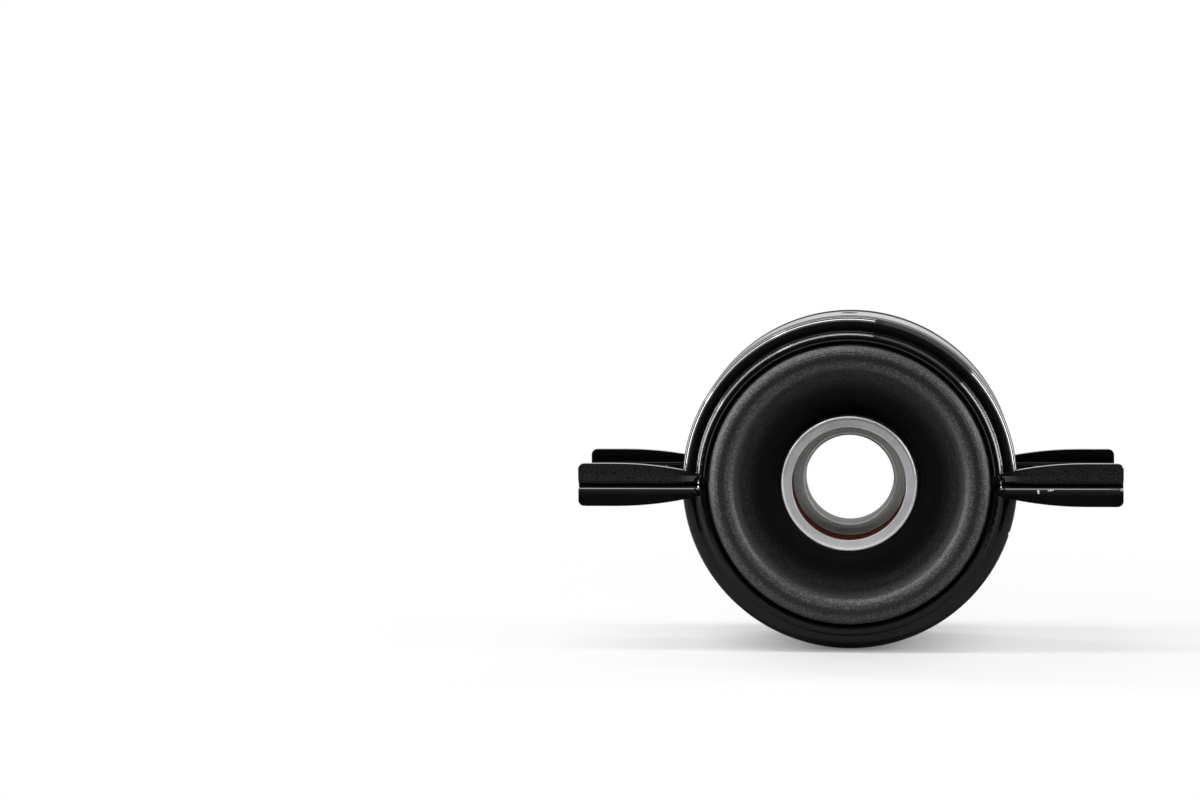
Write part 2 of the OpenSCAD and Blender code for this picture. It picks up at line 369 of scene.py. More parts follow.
class StageSettings(bpy.types.PropertyGroup):
    """Camera, light and floor."""

    floor_low: FloatVectorProperty(
        name="Floor shade",
        description="Darker tone of the floor",
        subtype="COLOR",
        default=(0.4, 0.4, 0.4),
    )
    floor_high: FloatVectorProperty(
        name="Floor tone",
        description="Lighter tone of the floor",
        subtype="COLOR",
        default=(0.42, 0.42, 0.42),
    )
    distance: FloatProperty(
        name="Camera distance",
        description="Distance of the camera from the front face of the bracket",
        default=1.068,
        unit="LENGTH",
    )
    elevation: FloatProperty(
        name="Elevation",
        description="Angle of the camera above the shaft axis",
        default=math.radians(6.5),
        subtype="ANGLE",
    )
    azimuth: FloatProperty(
        name="Azimuth",
        description="Angle of the camera to the right of the shaft axis",
        default=math.radians(0.92),
        subtype="ANGLE",
    )
    roll: FloatProperty(
        name="Roll",
        description="Turn of the camera about its own line of sight",
        default=math.radians(-0.517),
        subtype="ANGLE",
    )
    focal: FloatProperty(
        name="Focal length",
        description="Focal length of the camera in pixels of the photograph",
        default=3181.0,
    )
    aim_x: FloatProperty(
        name="Aim across",
        description="Pixels from the frame's middle to the bearing, to the right",
        default=248.7,
    )
    aim_y: FloatProperty(
        name="Aim down",
        description="Pixels from the frame's middle to the bearing, downwards",
        default=85.5,
    )
    arch: FloatProperty(
        name="Arch light",
        description="Power of each strip of the arches over the bearing",
        default=1.7,
        unit="POWER",
    )
    arch_r: FloatProperty(
        name="Arch radius",
        description="Distance of the strips from the shaft axis",
        default=0.9,
        unit="LENGTH",
    )
    strip_len: FloatProperty(
        name="Strip length",
        description="Length of a strip along its arch",
        default=0.67,
        unit="LENGTH",
    )
    strip_w: FloatProperty(
        name="Strip width",
        description="Width of a strip along the shaft",
        default=0.12,
        unit="LENGTH",
    )
    room: FloatProperty(
        name="Room light",
        description="Level of the room's soft light",
        default=0.12,
    )
    front: FloatProperty(
        name="Front light",
        description="Level of the room on the camera's side, in reflections",
        default=0.05,
    )
    sides: FloatProperty(
        name="Side light",
        description="Level of the room to the sides and above, in reflections",
        default=0.45,
    )


def settings(name):
    """One of the add-on's setting groups on the scene."""
    return getattr(bpy.context.scene, name)


def new_object(name, data):
    """An object of its own in the scene."""
    item = bpy.data.objects.new(name, data)
    bpy.context.scene.collection.objects.link(item)
    return item


# Node helpers


def add(tree, kind, values=None, **options):
    """Adds a node, sets its options and its unlinked inputs."""
    node = tree.nodes.new(kind)
    for key, value in options.items():
        setattr(node, key, value)
    for key, value in (values or {}).items():
        node.inputs[key].default_value = value
    return node


def wire(tree, source, target):
    """Links an output socket to an input socket."""
    tree.links.new(source, target)


def feed(tree, value, target):
    """Links an output socket to an input socket, or sets a constant on it."""
    if isinstance(value, bpy.types.NodeSocket):
        wire(tree, value, target)
    else:
        target.default_value = value


def calc(tree, operation, first, second=0.0):
    """A Math node over one or two sockets or numbers; gives its output."""
    node = add(tree, "ShaderNodeMath", operation=operation)
    feed(tree, first, node.inputs[0])
    feed(tree, second, node.inputs[1])
    return node.outputs[0]


def product(tree, *values):
    """Multiplies sockets or numbers."""
    result = values[0]
    for value in values[1:]:
        result = calc(tree, "MULTIPLY", result, value)
    return result


def ramp(tree, value, low, high, to_low=0.0, to_high=1.0):
    """Maps a value smoothly from low..high to the given range."""
    node = add(
        tree,
        "ShaderNodeMapRange",
        {"From Min": low, "From Max": high, "To Min": to_low, "To Max": to_high},
        interpolation_type="SMOOTHSTEP",
    )
    wire(tree, value, node.inputs["Value"])
    return node.outputs["Result"]


def band(tree, value, rise, fall):
    """A mask that rises over one range of a value and falls over another."""
    return product(tree, ramp(tree, value, *rise), ramp(tree, value, *fall))


def blend(tree, factor, first, second):
    """Mixes two colours, each a socket or a colour of three numbers."""
    node = add(tree, "ShaderNodeMix", data_type="RGBA")
    colours = [socket for socket in node.inputs if socket.type == "RGBA"]
    wire(tree, factor, node.inputs["Factor"])
    for socket, value in zip(colours, (first, second)):
        if isinstance(value, bpy.types.NodeSocket):
            wire(tree, value, socket)
        else:
            socket.default_value = (*value, 1.0)
    return next(socket for socket in node.outputs if socket.type == "RGBA")


def shaded(colour, share):
    """A share of a colour."""
    return [share * part for part in colour]


def place_on_object(tree):
    """The place on the object, as a vector."""
    return add(tree, "ShaderNodeTexCoord").outputs["Object"]


def split_axes(tree, vector):
    """A vector's X, Y and Z outputs."""
    axes = add(tree, "ShaderNodeSeparateXYZ")
    wire(tree, vector, axes.inputs[0])
    return axes.outputs


def shaft_radius(tree, axes):
    """Distance from the shaft axis."""
    across = product(tree, axes["X"], axes["X"])
    upward = product(tree, axes["Z"], axes["Z"])
    return calc(tree, "SQRT", calc(tree, "ADD", across, upward))


def length_of(tree, vector):
    """A vector's length."""
    node = add(tree, "ShaderNodeVectorMath", operation="LENGTH")
    wire(tree, vector, node.inputs[0])
    return node.outputs["Value"]


def noise(tree, place, scale, **values):
    """A noise at a place, with its scale as a socket or a number; gives its values."""
    node = add(tree, "ShaderNodeTexNoise", {key.capitalize(): value for key, value in values.items()})
    wire(tree, place, node.inputs["Vector"])
    feed(tree, scale, node.inputs["Scale"])
    return node.outputs["Fac"]


def new_group(name, inputs, outputs):
    """An empty shader group with named sockets; gives the tree, its inputs and its outputs."""
    tree = bpy.data.node_groups.new(name, "ShaderNodeTree")
    for kind, label, value in inputs:
        socket = tree.interface.new_socket(label, in_out="INPUT", socket_type=kind)
        socket.default_value = value
    for kind, label in outputs:
        tree.interface.new_socket(label, in_out="OUTPUT", socket_type=kind)
    entry = tree.nodes.new("NodeGroupInput").outputs
    result = tree.nodes.new("NodeGroupOutput").inputs
    return tree, entry, result


def use(tree, name, **values):
    """Places a shader group in a tree, with its own values."""
    node = add(tree, "ShaderNodeGroup", node_tree=bpy.data.node_groups[name])
    for key, value in values.items():
        node.inputs[key.replace("_", " ").capitalize()].default_value = value
    return node.outputs


# Shared effects


def turning_marks_group():
    """Fine rings about the shaft axis, as a lathe or a turned mould leaves them."""
    tree, entry, result = new_group(
        "Turning marks",
        [("NodeSocketFloat", "Rings", 4000.0), ("NodeSocketFloat", "Breakup", 60.0)],
        [("NodeSocketFloat", "Height"), ("NodeSocketFloat", "Mask"), ("NodeSocketFloat", "Radius")],
    )
    place = place_on_object(tree)
    axes = split_axes(tree, place)
    radius = shaft_radius(tree, axes)
    travel = calc(tree, "ADD", radius, product(tree, axes["Y"], RING_SLANT))
    rings = add(tree, "ShaderNodeTexNoise", {"Scale": 1.0, "Detail": 3.0}, noise_dimensions="1D")
    wire(tree, product(tree, travel, entry["Rings"]), rings.inputs["W"])
    depth = ramp(tree, noise(tree, place, entry["Breakup"], detail=2.0), 0.3, 0.7, 0.45, 1.0)
    centred = calc(tree, "SUBTRACT", rings.outputs["Fac"], 0.5)
    height = calc(tree, "ADD", product(tree, centred, depth), 0.5)
    wire(tree, height, result["Height"])
    wire(tree, ramp(tree, height, 0.3, 0.7), result["Mask"])
    wire(tree, radius, result["Radius"])


def grain_group():
    """Fine uneven grain, with a coarser cloud over it."""
    tree, entry, result = new_group(
        "Surface grain",
        [("NodeSocketFloat", "Scale", 1500.0), ("NodeSocketFloat", "Cloud", 40.0)],
        [("NodeSocketFloat", "Height"), ("NodeSocketFloat", "Mask")],
    )
    place = place_on_object(tree)
    cloud = noise(tree, place, entry["Cloud"], detail=4.0, roughness=0.6)
    wire(tree, noise(tree, place, entry["Scale"], detail=3.0, roughness=0.6), result["Height"])
    wire(tree, ramp(tree, cloud, 0.35, 0.65), result["Mask"])


def dust_group():
    """Specks of dust, thicker on what faces up."""
    tree, entry, result = new_group(
        "Settled dust",
        [
            ("NodeSocketFloat", "Film", 0.05),
            ("NodeSocketFloat", "Specks", 0.5),
            ("NodeSocketFloat", "Scale", 900.0),
        ],
        [("NodeSocketFloat", "Mask")],
    )
    facing = split_axes(tree, add(tree, "ShaderNodeNewGeometry").outputs["Normal"])
    upward = ramp(tree, facing["Z"], -0.4, 0.9, 0.3, 1.0)
    specks = noise(tree, place_on_object(tree), entry["Scale"], detail=2.0, roughness=0.7)
    bright = product(tree, ramp(tree, specks, 0.68, 0.8), entry["Specks"])
    wire(tree, product(tree, calc(tree, "ADD", bright, entry["Film"]), upward), result["Mask"])


def edge_group():
    """Softened edges, with a mask of where an edge is worn."""
    tree, entry, result = new_group(
        "Worn edge",
        [("NodeSocketFloat", "Radius", 0.0004), ("NodeSocketFloat", "Wear", 0.3)],
        [("NodeSocketFloat", "Mask"), ("NodeSocketVector", "Normal")],
    )
    soft = add(tree, "ShaderNodeBevel", samples=6)
    wire(tree, entry["Radius"], soft.inputs["Radius"])
    turn = add(tree, "ShaderNodeVectorMath", operation="DOT_PRODUCT")
    wire(tree, soft.outputs["Normal"], turn.inputs[0])
    wire(tree, add(tree, "ShaderNodeNewGeometry").outputs["Normal"], turn.inputs[1])
    edge = ramp(tree, turn.outputs["Value"], 0.98, 0.8)
    patches = noise(tree, place_on_object(tree), 260.0, detail=3.0)
    worn = product(tree, ramp(tree, patches, 0.58, 0.7), entry["Wear"])
    wire(tree, product(tree, edge, worn), result["Mask"])
    wire(tree, soft.outputs["Normal"], result["Normal"])


def chip_group():
    """A small ragged spot at a place on the object."""
    tree, entry, result = new_group(
        "Paint chip",
        [("NodeSocketVector", "Place", (0.0, 0.0, 0.0)), ("NodeSocketFloat", "Size", 0.0006)],
        [("NodeSocketFloat", "Mask")],
    )
    place = place_on_object(tree)
    away = add(tree, "ShaderNodeVectorMath", operation="DISTANCE")
    wire(tree, place, away.inputs[0])
    wire(tree, entry["Place"], away.inputs[1])
    ragged = noise(tree, place, 1900.0, detail=3.0)
    reach = product(tree, entry["Size"], ramp(tree, ragged, 0.2, 0.8, 0.3, 1.5))
    wire(tree, calc(tree, "LESS_THAN", away.outputs["Value"], reach), result["Mask"])


# Materials


def new_material(name, **sockets):
    """A material whose shader holds the given constant values; gives material, tree and shader."""
    material = bpy.data.materials.new(name)
    material.use_nodes = True
    shader = material.node_tree.nodes["Principled BSDF"]
    for key, value in sockets.items():
        shader.inputs[key.replace("_", " ").title().replace("Ior", "IOR")].default_value = value
    return material, material.node_tree, shader


def bump(tree, shader, height, distance, strength, normal=None):
    """Feeds a height, over an optional normal, to the shader."""
    node = add(tree, "ShaderNodeBump", {"Distance": distance, "Strength": strength})
    wire(tree, height, node.inputs["Height"])
    if normal is not None:
        wire(tree, normal, node.inputs["Normal"])
    wire(tree, node.outputs["Normal"], shader.inputs["Normal"])


def ear_bends(tree, axes, aside, ear):
    """Mask of the bends along the ears' turned edges, inside them and under them, where the coat is taken
    off as painted shade.
    """
    inner = band(tree, aside, INNER_BEND_RISE, INNER_BEND_FALL)
    inner = product(tree, inner, ramp(tree, axes["Z"], *INNER_BEND_UP))
    under = band(tree, axes["Z"], UNDER_BEND_UP, SPLIT_UP)
    under = product(tree, under, ramp(tree, aside, *UNDER_BEND_RISE))
    return product(tree, calc(tree, "MAXIMUM", inner, under), ramp(tree, ear, 0.0, 1.0, 0.0, BEND_DULL))


def crown_bands(tree, axes, radius):
    """Mask of the two bands over the crown where the coat is taken off, painting dark bands into its
    reflection.
    """
    crown = product(tree, ramp(tree, radius, *CROWN_OUT), ramp(tree, axes["Z"], *CROWN_UP))
    rear = band(tree, axes["Y"], REAR_BAND_RISE, REAR_BAND_FALL)
    off_middle = calc(tree, "ABSOLUTE", calc(tree, "ADD", axes["Y"], FRONT_BAND_MIDDLE))
    front = ramp(tree, off_middle, *FRONT_BAND_HALF, 0.0, FRONT_BAND_SHARE)
    return product(tree, calc(tree, "MAXIMUM", rear, front), product(tree, crown, CROWN_DULL))


def collar_root(tree, axes, aside, radius):
    """Mask of the fillet at the root of the collars, near the top, where the coat is taken off as painted
    shade.
    """
    ring = band(tree, radius, ROOT_RISE_OUT, ROOT_FALL_OUT)
    rise = ramp(tree, aside, *ROOT_RISE_ALONG)
    fall = ramp(tree, aside, *ROOT_FALL_ALONG, 0.0, ROOT_DULL)
    return product(tree, ring, rise, fall, ramp(tree, axes["Z"], *ROOT_UP))


def black_paint(name, chips, coat_ior, gloss_coat, base_gloss, film, ear_dust_and_sheen):
    """Gloss black paint on pressed steel, dusty on the ears with a painted sheen on their fronts, its coat
    taken off in their bends, on the crown's bands and at the collars' root as painted shade, with a few
    chips.
    """
    finish = settings("bearing_finish")
    material, tree, shader = new_material(
        name, coat_roughness=0.05, coat_ior=coat_ior, specular_ior_level=base_gloss
    )
    grain = use(tree, "Surface grain", scale=2600.0, cloud=70.0)
    edge = use(tree, "Worn edge", radius=0.00025, wear=0.12)
    dust = use(tree, "Settled dust", film=film, specks=0.35, scale=1500.0)
    axes = split_axes(tree, place_on_object(tree))
    aside = calc(tree, "ABSOLUTE", axes["Y"])
    radius = shaft_radius(tree, axes)
    ear = ramp(tree, calc(tree, "ABSOLUTE", axes["X"]), *EAR_ACROSS)
    # On the lower half a full, strong coat only along the split paints a highlight line; below it the thin
    # coat darkens the reflections
    coat = ramp(tree, axes["Z"], *TOP_EDGE_UP, gloss_coat, 1.0)
    # Painted shade: the coat is taken off in the bends, on the crown's bands and in the collars' root
    painted_coat_shade = calc(tree, "MAXIMUM", ear_bends(tree, axes, aside, ear), crown_bands(tree, axes, radius))
    painted_coat_shade = calc(tree, "MAXIMUM", painted_coat_shade, collar_root(tree, axes, aside, radius))
    wire(tree, product(tree, coat, calc(tree, "SUBTRACT", 1.0, painted_coat_shade)), shader.inputs["Coat Weight"])
    # Pale powder on the ears' front faces: partly dust, partly a painted sheen that makes the upper ears'
    # fronts lighter
    powder_and_sheen = ramp(tree, grain["Height"], 0.35, 0.65, 0.0, ear_dust_and_sheen)
    powder_and_sheen = product(tree, powder_and_sheen, ear, ramp(tree, axes["Y"], *POWDER_AND_SHEEN_ALONG))
    shade = blend(tree, calc(tree, "ADD", dust["Mask"], powder_and_sheen), finish.paint, finish.dust)
    shade = blend(tree, edge["Mask"], shade, finish.bare_steel)
    for place, size in chips:
        chip = use(tree, "Paint chip", place=place, size=size)
        shade = blend(tree, chip["Mask"], shade, finish.primer)
    wire(tree, shade, shader.inputs["Base Color"])
    wire(tree, edge["Mask"], shader.inputs["Metallic"])
    gloss = ramp(tree, grain["Mask"], 0.0, 1.0, 0.12, 0.18)
    dull = product(tree, dust["Mask"], 0.9)
    wire(tree, calc(tree, "ADD", gloss, dull), shader.inputs["Roughness"])
    bump(tree, shader, grain["Height"], 0.0002, 0.06, edge["Normal"])
    return material


def cushion_rubber():
    """Moulded rubber: rough and painted in shade down in the dish, with a painted shade along the crest,
    grained and bloomed on the rolled lip.
    """
    finish = settings("bearing_finish")
    material, tree, shader = new_material("cushion_rubber", specular_ior_level=0.25)
    marks = use(tree, "Turning marks", rings=1500.0, breakup=45.0)
    grain = use(tree, "Surface grain", scale=1700.0, cloud=55.0)
    dust = use(tree, "Settled dust", film=0.02, specks=0.25, scale=1300.0)
    # Painted shade for the dish, a tenth of the rubber's colour
    dish_shade = shaded(finish.rubber, 0.1)
    bloom = shaded(finish.rubber, 2.6)
    # Colour of the painted shade along the crest, three tenths of the rubber's
    polished = shaded(finish.rubber, 0.3)
    lip = ramp(tree, marks["Radius"], *LIP_OUT)
    shade = blend(tree, lip, dish_shade, finish.rubber)
    # The lip's mould rings darken towards the same dark tone
    ringed = product(tree, ramp(tree, marks["Mask"], 0.2, 0.9, 0.45, 0.0), lip)
    shade = blend(tree, ringed, shade, dish_shade)
    speck = ramp(tree, grain["Height"], 0.45, 0.62)
    shade = blend(tree, product(tree, speck, lip), shade, bloom)
    # Painted shade along the crest of the rolled lip
    off_crest = calc(tree, "ABSOLUTE", calc(tree, "SUBTRACT", marks["Radius"], CREST_R))
    crest_shade_mask = ramp(tree, off_crest, *CREST_HALF, 0.0, 0.75)
    shade = blend(tree, crest_shade_mask, shade, polished)
    shade = blend(tree, product(tree, dust["Mask"], lip), shade, finish.dust)
    wire(tree, shade, shader.inputs["Base Color"])
    worn = ramp(tree, marks["Mask"], 0.0, 1.0, -0.08, 0.1)
    rough = ramp(tree, lip, 0.0, 1.0, 0.72, 0.42)
    wire(tree, calc(tree, "ADD", rough, worn), shader.inputs["Roughness"])
    height = calc(tree, "ADD", marks["Height"], product(tree, grain["Height"], 0.9))
    bump(tree, shader, height, 0.0002, 0.5)
    return material


def marked_steel(name, colour, rings, soft):
    """Steel with fine lathe rings and softened edges; gives its parts, its marks and its shade."""
    material, tree, shader = new_material(name, metallic=1.0)
    marks = use(tree, "Turning marks", rings=rings, breakup=80.0)
    grain = use(tree, "Surface grain", scale=2200.0, cloud=60.0)
    edge = use(tree, "Worn edge", radius=soft, wear=0.0)
    bump(tree, shader, marks["Height"], 0.0001, 0.12, edge["Normal"])
    shade = blend(tree, grain["Mask"], shaded(colour, 0.82), colour)
    return material, tree, shader, marks, shade


def turned_steel(name, colour, rough, rings, shoulder=1.0):
    """Bright turned steel, smoother beyond the shoulder's radius."""
    material, tree, shader, marks, shade = marked_steel(name, colour, rings, soft=0.0003)
    wire(tree, shade, shader.inputs["Base Color"])
    turned = ramp(tree, marks["Mask"], 0.0, 1.0, rough - 0.05, rough + 0.06)
    smooth = ramp(tree, marks["Radius"], shoulder, shoulder + SHOULDER_WIDTH, 0.0, 0.55 * rough)
    wire(tree, calc(tree, "SUBTRACT", turned, smooth), shader.inputs["Roughness"])
    return material


def bored_steel():
    """The inner ring's steel: turned face, a painted highlight on the bore's edge, the ground bore rough
    and painted in shade.
    """
    finish = settings("bearing_finish")
    parts = marked_steel("bored_steel", finish.bearing, GROUND_RINGS, soft=0.0004)
    material, tree, shader, marks, shade = parts
    lip = ramp(tree, marks["Radius"], *BORE_EDGE_OUT)
    bore = ramp(tree, marks["Radius"], *BORE_OUT)
    # Painted highlight on the bore's edge, painted shade in the bore
    shade = blend(tree, lip, shade, finish.bore_edge_highlight)
    shade = blend(tree, bore, shade, shaded(finish.bearing, 0.4))
    wire(tree, shade, shader.inputs["Base Color"])
    rough = ramp(tree, marks["Mask"], 0.0, 1.0, 0.23, 0.34)
    rough = calc(tree, "SUBTRACT", rough, product(tree, lip, 0.1))
    rough = calc(tree, "ADD", rough, product(tree, bore, 0.35))
    wire(tree, rough, shader.inputs["Roughness"])
    return material


def plain_steel(name, colour, rough):
    """Pressed or polished steel with a slight unevenness."""
    material, tree, shader = new_material(name, metallic=1.0)
    grain = use(tree, "Surface grain", scale=1800.0, cloud=220.0)
    wire(tree, blend(tree, grain["Mask"], shaded(colour, 0.85), colour), shader.inputs["Base Color"])
    wire(tree, ramp(tree, grain["Mask"], 0.0, 1.0, rough, rough + 0.08), shader.inputs["Roughness"])
    bump(tree, shader, grain["Height"], 0.0001, 0.08)
    return material


def seal_rubber():
    """Matte red-brown rubber of the seals."""
    finish = settings("bearing_finish")
    material, tree, shader = new_material("seal_rubber")
    marks = use(tree, "Turning marks", rings=2600.0, breakup=90.0)
    grain = use(tree, "Surface grain", scale=2600.0, cloud=140.0)
    shade = blend(tree, grain["Mask"], shaded(finish.seal, 0.75), finish.seal)
    wire(tree, shade, shader.inputs["Base Color"])
    wire(tree, ramp(tree, marks["Mask"], 0.0, 1.0, 0.55, 0.68), shader.inputs["Roughness"])
    bump(tree, shader, marks["Height"], 0.0001, 0.15)
    return material


def dress(material, *names):
    """Puts a material on CAD nodes."""
    for name in names:
        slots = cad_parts[name].material_slots
        for slot in slots:
            slot.material = material
        if not slots:
            raise RuntimeError(f"{name} has no material slot")


# Shapes


def rounded_corner(before, corner, after, radius):
    """Points of a small arc-like rounding of a corner."""
    start = corner + (before - corner).normalized() * radius
    end = corner + (after - corner).normalized() * radius
    points = []
    for step in range(CORNER_STEPS + 1):
        t = step / CORNER_STEPS
        points.append((1 - t) ** 2 * start + 2 * t * (1 - t) * corner + t**2 * end)
    return points


def arc_points(centre, radius, start, end):
    """Points of an arc, with its angles in radians."""
    points = []
    for step in range(ARC_STEPS + 1):
        angle = start + (end - start) * step / ARC_STEPS
        points.append(centre + radius * Vector((math.cos(angle), math.sin(angle))))
    return points


def circles_meet(first, first_r, second, second_r):
    """The upper of the two points where two circles of a section meet."""
    line = second - first
    along = (line.length_squared + first_r**2 - second_r**2) / (2 * line.length)
    aside = math.sqrt(first_r**2 - along**2)
    step = line.normalized()
    return first + step * along + Vector((-step.y, step.x)) * aside


def cushion_half_profile(size):
    """The cushion's front half section as (radius, distance to the front), from seat to rim."""
    soft = size.rounding
    roll = Vector((size.lip_r - size.roll_r, size.crest - size.roll_r))
    rise = size.floor + size.dish_r
    reach = math.sqrt(size.dish_r**2 - (rise - roll.y) ** 2)
    dish = Vector((roll.x - size.roll_r + size.dish_bite - reach, rise))
    crease = circles_meet(dish, size.dish_r, roll, size.roll_r)
    ease = CREASE_EASE * soft
    dish_end = math.atan2(crease.y - dish.y, crease.x - dish.x) - ease / size.dish_r
    roll_start = math.atan2(crease.y - roll.y, crease.x - roll.x) - ease / size.roll_r
    dish_arc = arc_points(dish, size.dish_r, -math.pi / 2, dish_end)
    roll_arc = arc_points(roll, size.roll_r, roll_start, 0.0)
    seat = Vector((size.seat_r, size.seat_half))
    mouth_in = Vector((size.mouth_r, size.seat_half))
    mouth = Vector((size.mouth_r, size.floor))
    neck = Vector((size.lip_r, size.rim_half))
    corner = Vector((size.rim_r, size.rim_half))
    profile = [seat]
    profile += rounded_corner(seat, mouth_in, mouth, soft)
    profile += rounded_corner(mouth_in, mouth, dish_arc[0], soft)
    profile += dish_arc
    profile += rounded_corner(dish_arc[-1], crease, roll_arc[0], ease)[1:-1]
    profile += roll_arc
    profile += rounded_corner(roll_arc[-1], neck, corner, soft)
    profile += rounded_corner(neck, corner, Vector((size.rim_r, 0.0)), soft * RIM_EASE)
    return profile


def turn_section(name, section, steps):
    """Turns a closed section of (radius, distance to the front) about the shaft; gives an object."""
    mesh = bpy.data.meshes.new(name)
    shape = bmesh.new()
    rings = []
    for step in range(steps):
        angle = 2 * math.pi * step / steps
        sine, cosine = math.sin(angle), math.cos(angle)
        rings.append([shape.verts.new((p.x * sine, -p.y, p.x * cosine)) for p in section])
    count = len(section)
    for step in range(steps):
        ring, following = rings[step], rings[(step + 1) % steps]
        for i in range(count):
            j = (i + 1) % count
            shape.faces.new((ring[i], ring[j], following[j], following[i]))
    bmesh.ops.recalc_face_normals(shape, faces=shape.faces)
    for face in shape.faces:
        face.smooth = True
    shape.to_mesh(mesh)
    shape.free()
    return new_object(name, mesh)


def rivet_ring_tree():
    """Geometry nodes for a ring of rivets with two domed heads, about the shaft."""
    tree = bpy.data.node_groups.new("Rivet ring", "GeometryNodeTree")
    sockets = [
        ("NodeSocketInt", "Rivets"),
        ("NodeSocketFloat", "Circle radius"),
        ("NodeSocketFloat", "Shank radius"),
        ("NodeSocketFloat", "Head radius"),
        ("NodeSocketFloat", "Head height"),
        ("NodeSocketFloat", "Grip"),
        ("NodeSocketMaterial", "Finish"),
    ]
    for kind, label in sockets:
        tree.interface.new_socket(label, in_out="INPUT", socket_type=kind)
    tree.interface.new_socket("Geometry", in_out="OUTPUT", socket_type="NodeSocketGeometry")
    entry = tree.nodes.new("NodeGroupInput").outputs
    result = tree.nodes.new("NodeGroupOutput").inputs

    shank = add(tree, "GeometryNodeMeshCylinder", {"Vertices": SHANK_SIDES})
    wire(tree, entry["Shank radius"], shank.inputs["Radius"])
    wire(tree, entry["Grip"], shank.inputs["Depth"])
    rivet = add(tree, "GeometryNodeJoinGeometry")
    wire(tree, shank.outputs["Mesh"], rivet.inputs[0])
    for side in (1.0, -1.0):
        sizes = {"Segments": SHANK_SIDES, "Rings": HEAD_RINGS, "Radius": 1.0}
        ball = add(tree, "GeometryNodeMeshUVSphere", sizes)
        shape = add(tree, "ShaderNodeCombineXYZ")
        for axis, label in zip("XYZ", ("Head radius", "Head radius", "Head height")):
            wire(tree, entry[label], shape.inputs[axis])
        seat = add(tree, "ShaderNodeCombineXYZ")
        wire(tree, product(tree, entry["Grip"], side / 2), seat.inputs["Z"])
        head = add(tree, "GeometryNodeTransform")
        wire(tree, ball.outputs["Mesh"], head.inputs["Geometry"])
        wire(tree, shape.outputs[0], head.inputs["Scale"])
        wire(tree, seat.outputs[0], head.inputs["Translation"])
        wire(tree, head.outputs[0], rivet.inputs[0])
    smooth = add(tree, "GeometryNodeSetShadeSmooth")
    wire(tree, rivet.outputs[0], smooth.inputs["Geometry"])

    circle = add(tree, "GeometryNodeMeshCircle")
    wire(tree, entry["Rivets"], circle.inputs["Vertices"])
    wire(tree, entry["Circle radius"], circle.inputs["Radius"])
    ring = add(tree, "GeometryNodeInstanceOnPoints")
    wire(tree, circle.outputs["Mesh"], ring.inputs["Points"])
    wire(tree, smooth.outputs["Geometry"], ring.inputs["Instance"])
    half_step = add(tree, "ShaderNodeCombineXYZ")
    wire(tree, calc(tree, "DIVIDE", math.pi, entry["Rivets"]), half_step.inputs["Z"])
    turned = add(tree, "GeometryNodeTransform")
    wire(tree, ring.outputs["Instances"], turned.inputs["Geometry"])
    wire(tree, half_step.outputs[0], turned.inputs["Rotation"])
    upright = add(tree, "GeometryNodeTransform", {"Rotation": (math.pi / 2, 0.0, 0.0)})
    wire(tree, turned.outputs[0], upright.inputs["Geometry"])
    real = add(tree, "GeometryNodeRealizeInstances")
    wire(tree, upright.outputs[0], real.inputs["Geometry"])
    finish = add(tree, "GeometryNodeSetMaterial")
    wire(tree, real.outputs["Geometry"], finish.inputs["Geometry"])
    wire(tree, entry["Finish"], finish.inputs["Material"])
    wire(tree, finish.outputs["Geometry"], result["Geometry"])
    return tree


def made_by_nodes(name, tree, values):
    """Runs a geometry tree with named inputs and gives its result as a plain mesh object."""
    holder = new_object(name + "_maker", bpy.data.meshes.new(name + "_maker"))
    modifier = holder.modifiers.new("Maker", "NODES")
    modifier.node_group = tree
    for item in tree.interface.items_tree:
        if item.in_out == "INPUT":
            modifier[item.identifier] = values[item.name]
    graph = bpy.context.evaluated_depsgraph_get()
    mesh = bpy.data.meshes.new_from_object(holder.evaluated_get(graph))
    mesh.name = name
    holder.modifiers.clear()
    bpy.data.objects.remove(holder)
    return new_object(name, mesh)


# Stage


def mirrored_rays(tree, seen):
    """One for the rays of a reflection or of what is seen through glass."""
    return calc(tree, "MAXIMUM", seen["Is Glossy Ray"], seen["Is Transmission Ray"])


def mix_shaders(tree, factor, first, second):
    """Mixes two shader outputs."""
    node = add(tree, "ShaderNodeMixShader")
    wire(tree, factor, node.inputs["Fac"])
    wire(tree, first, node.inputs[1])
    wire(tree, second, node.inputs[2])
    return node.outputs["Shader"]


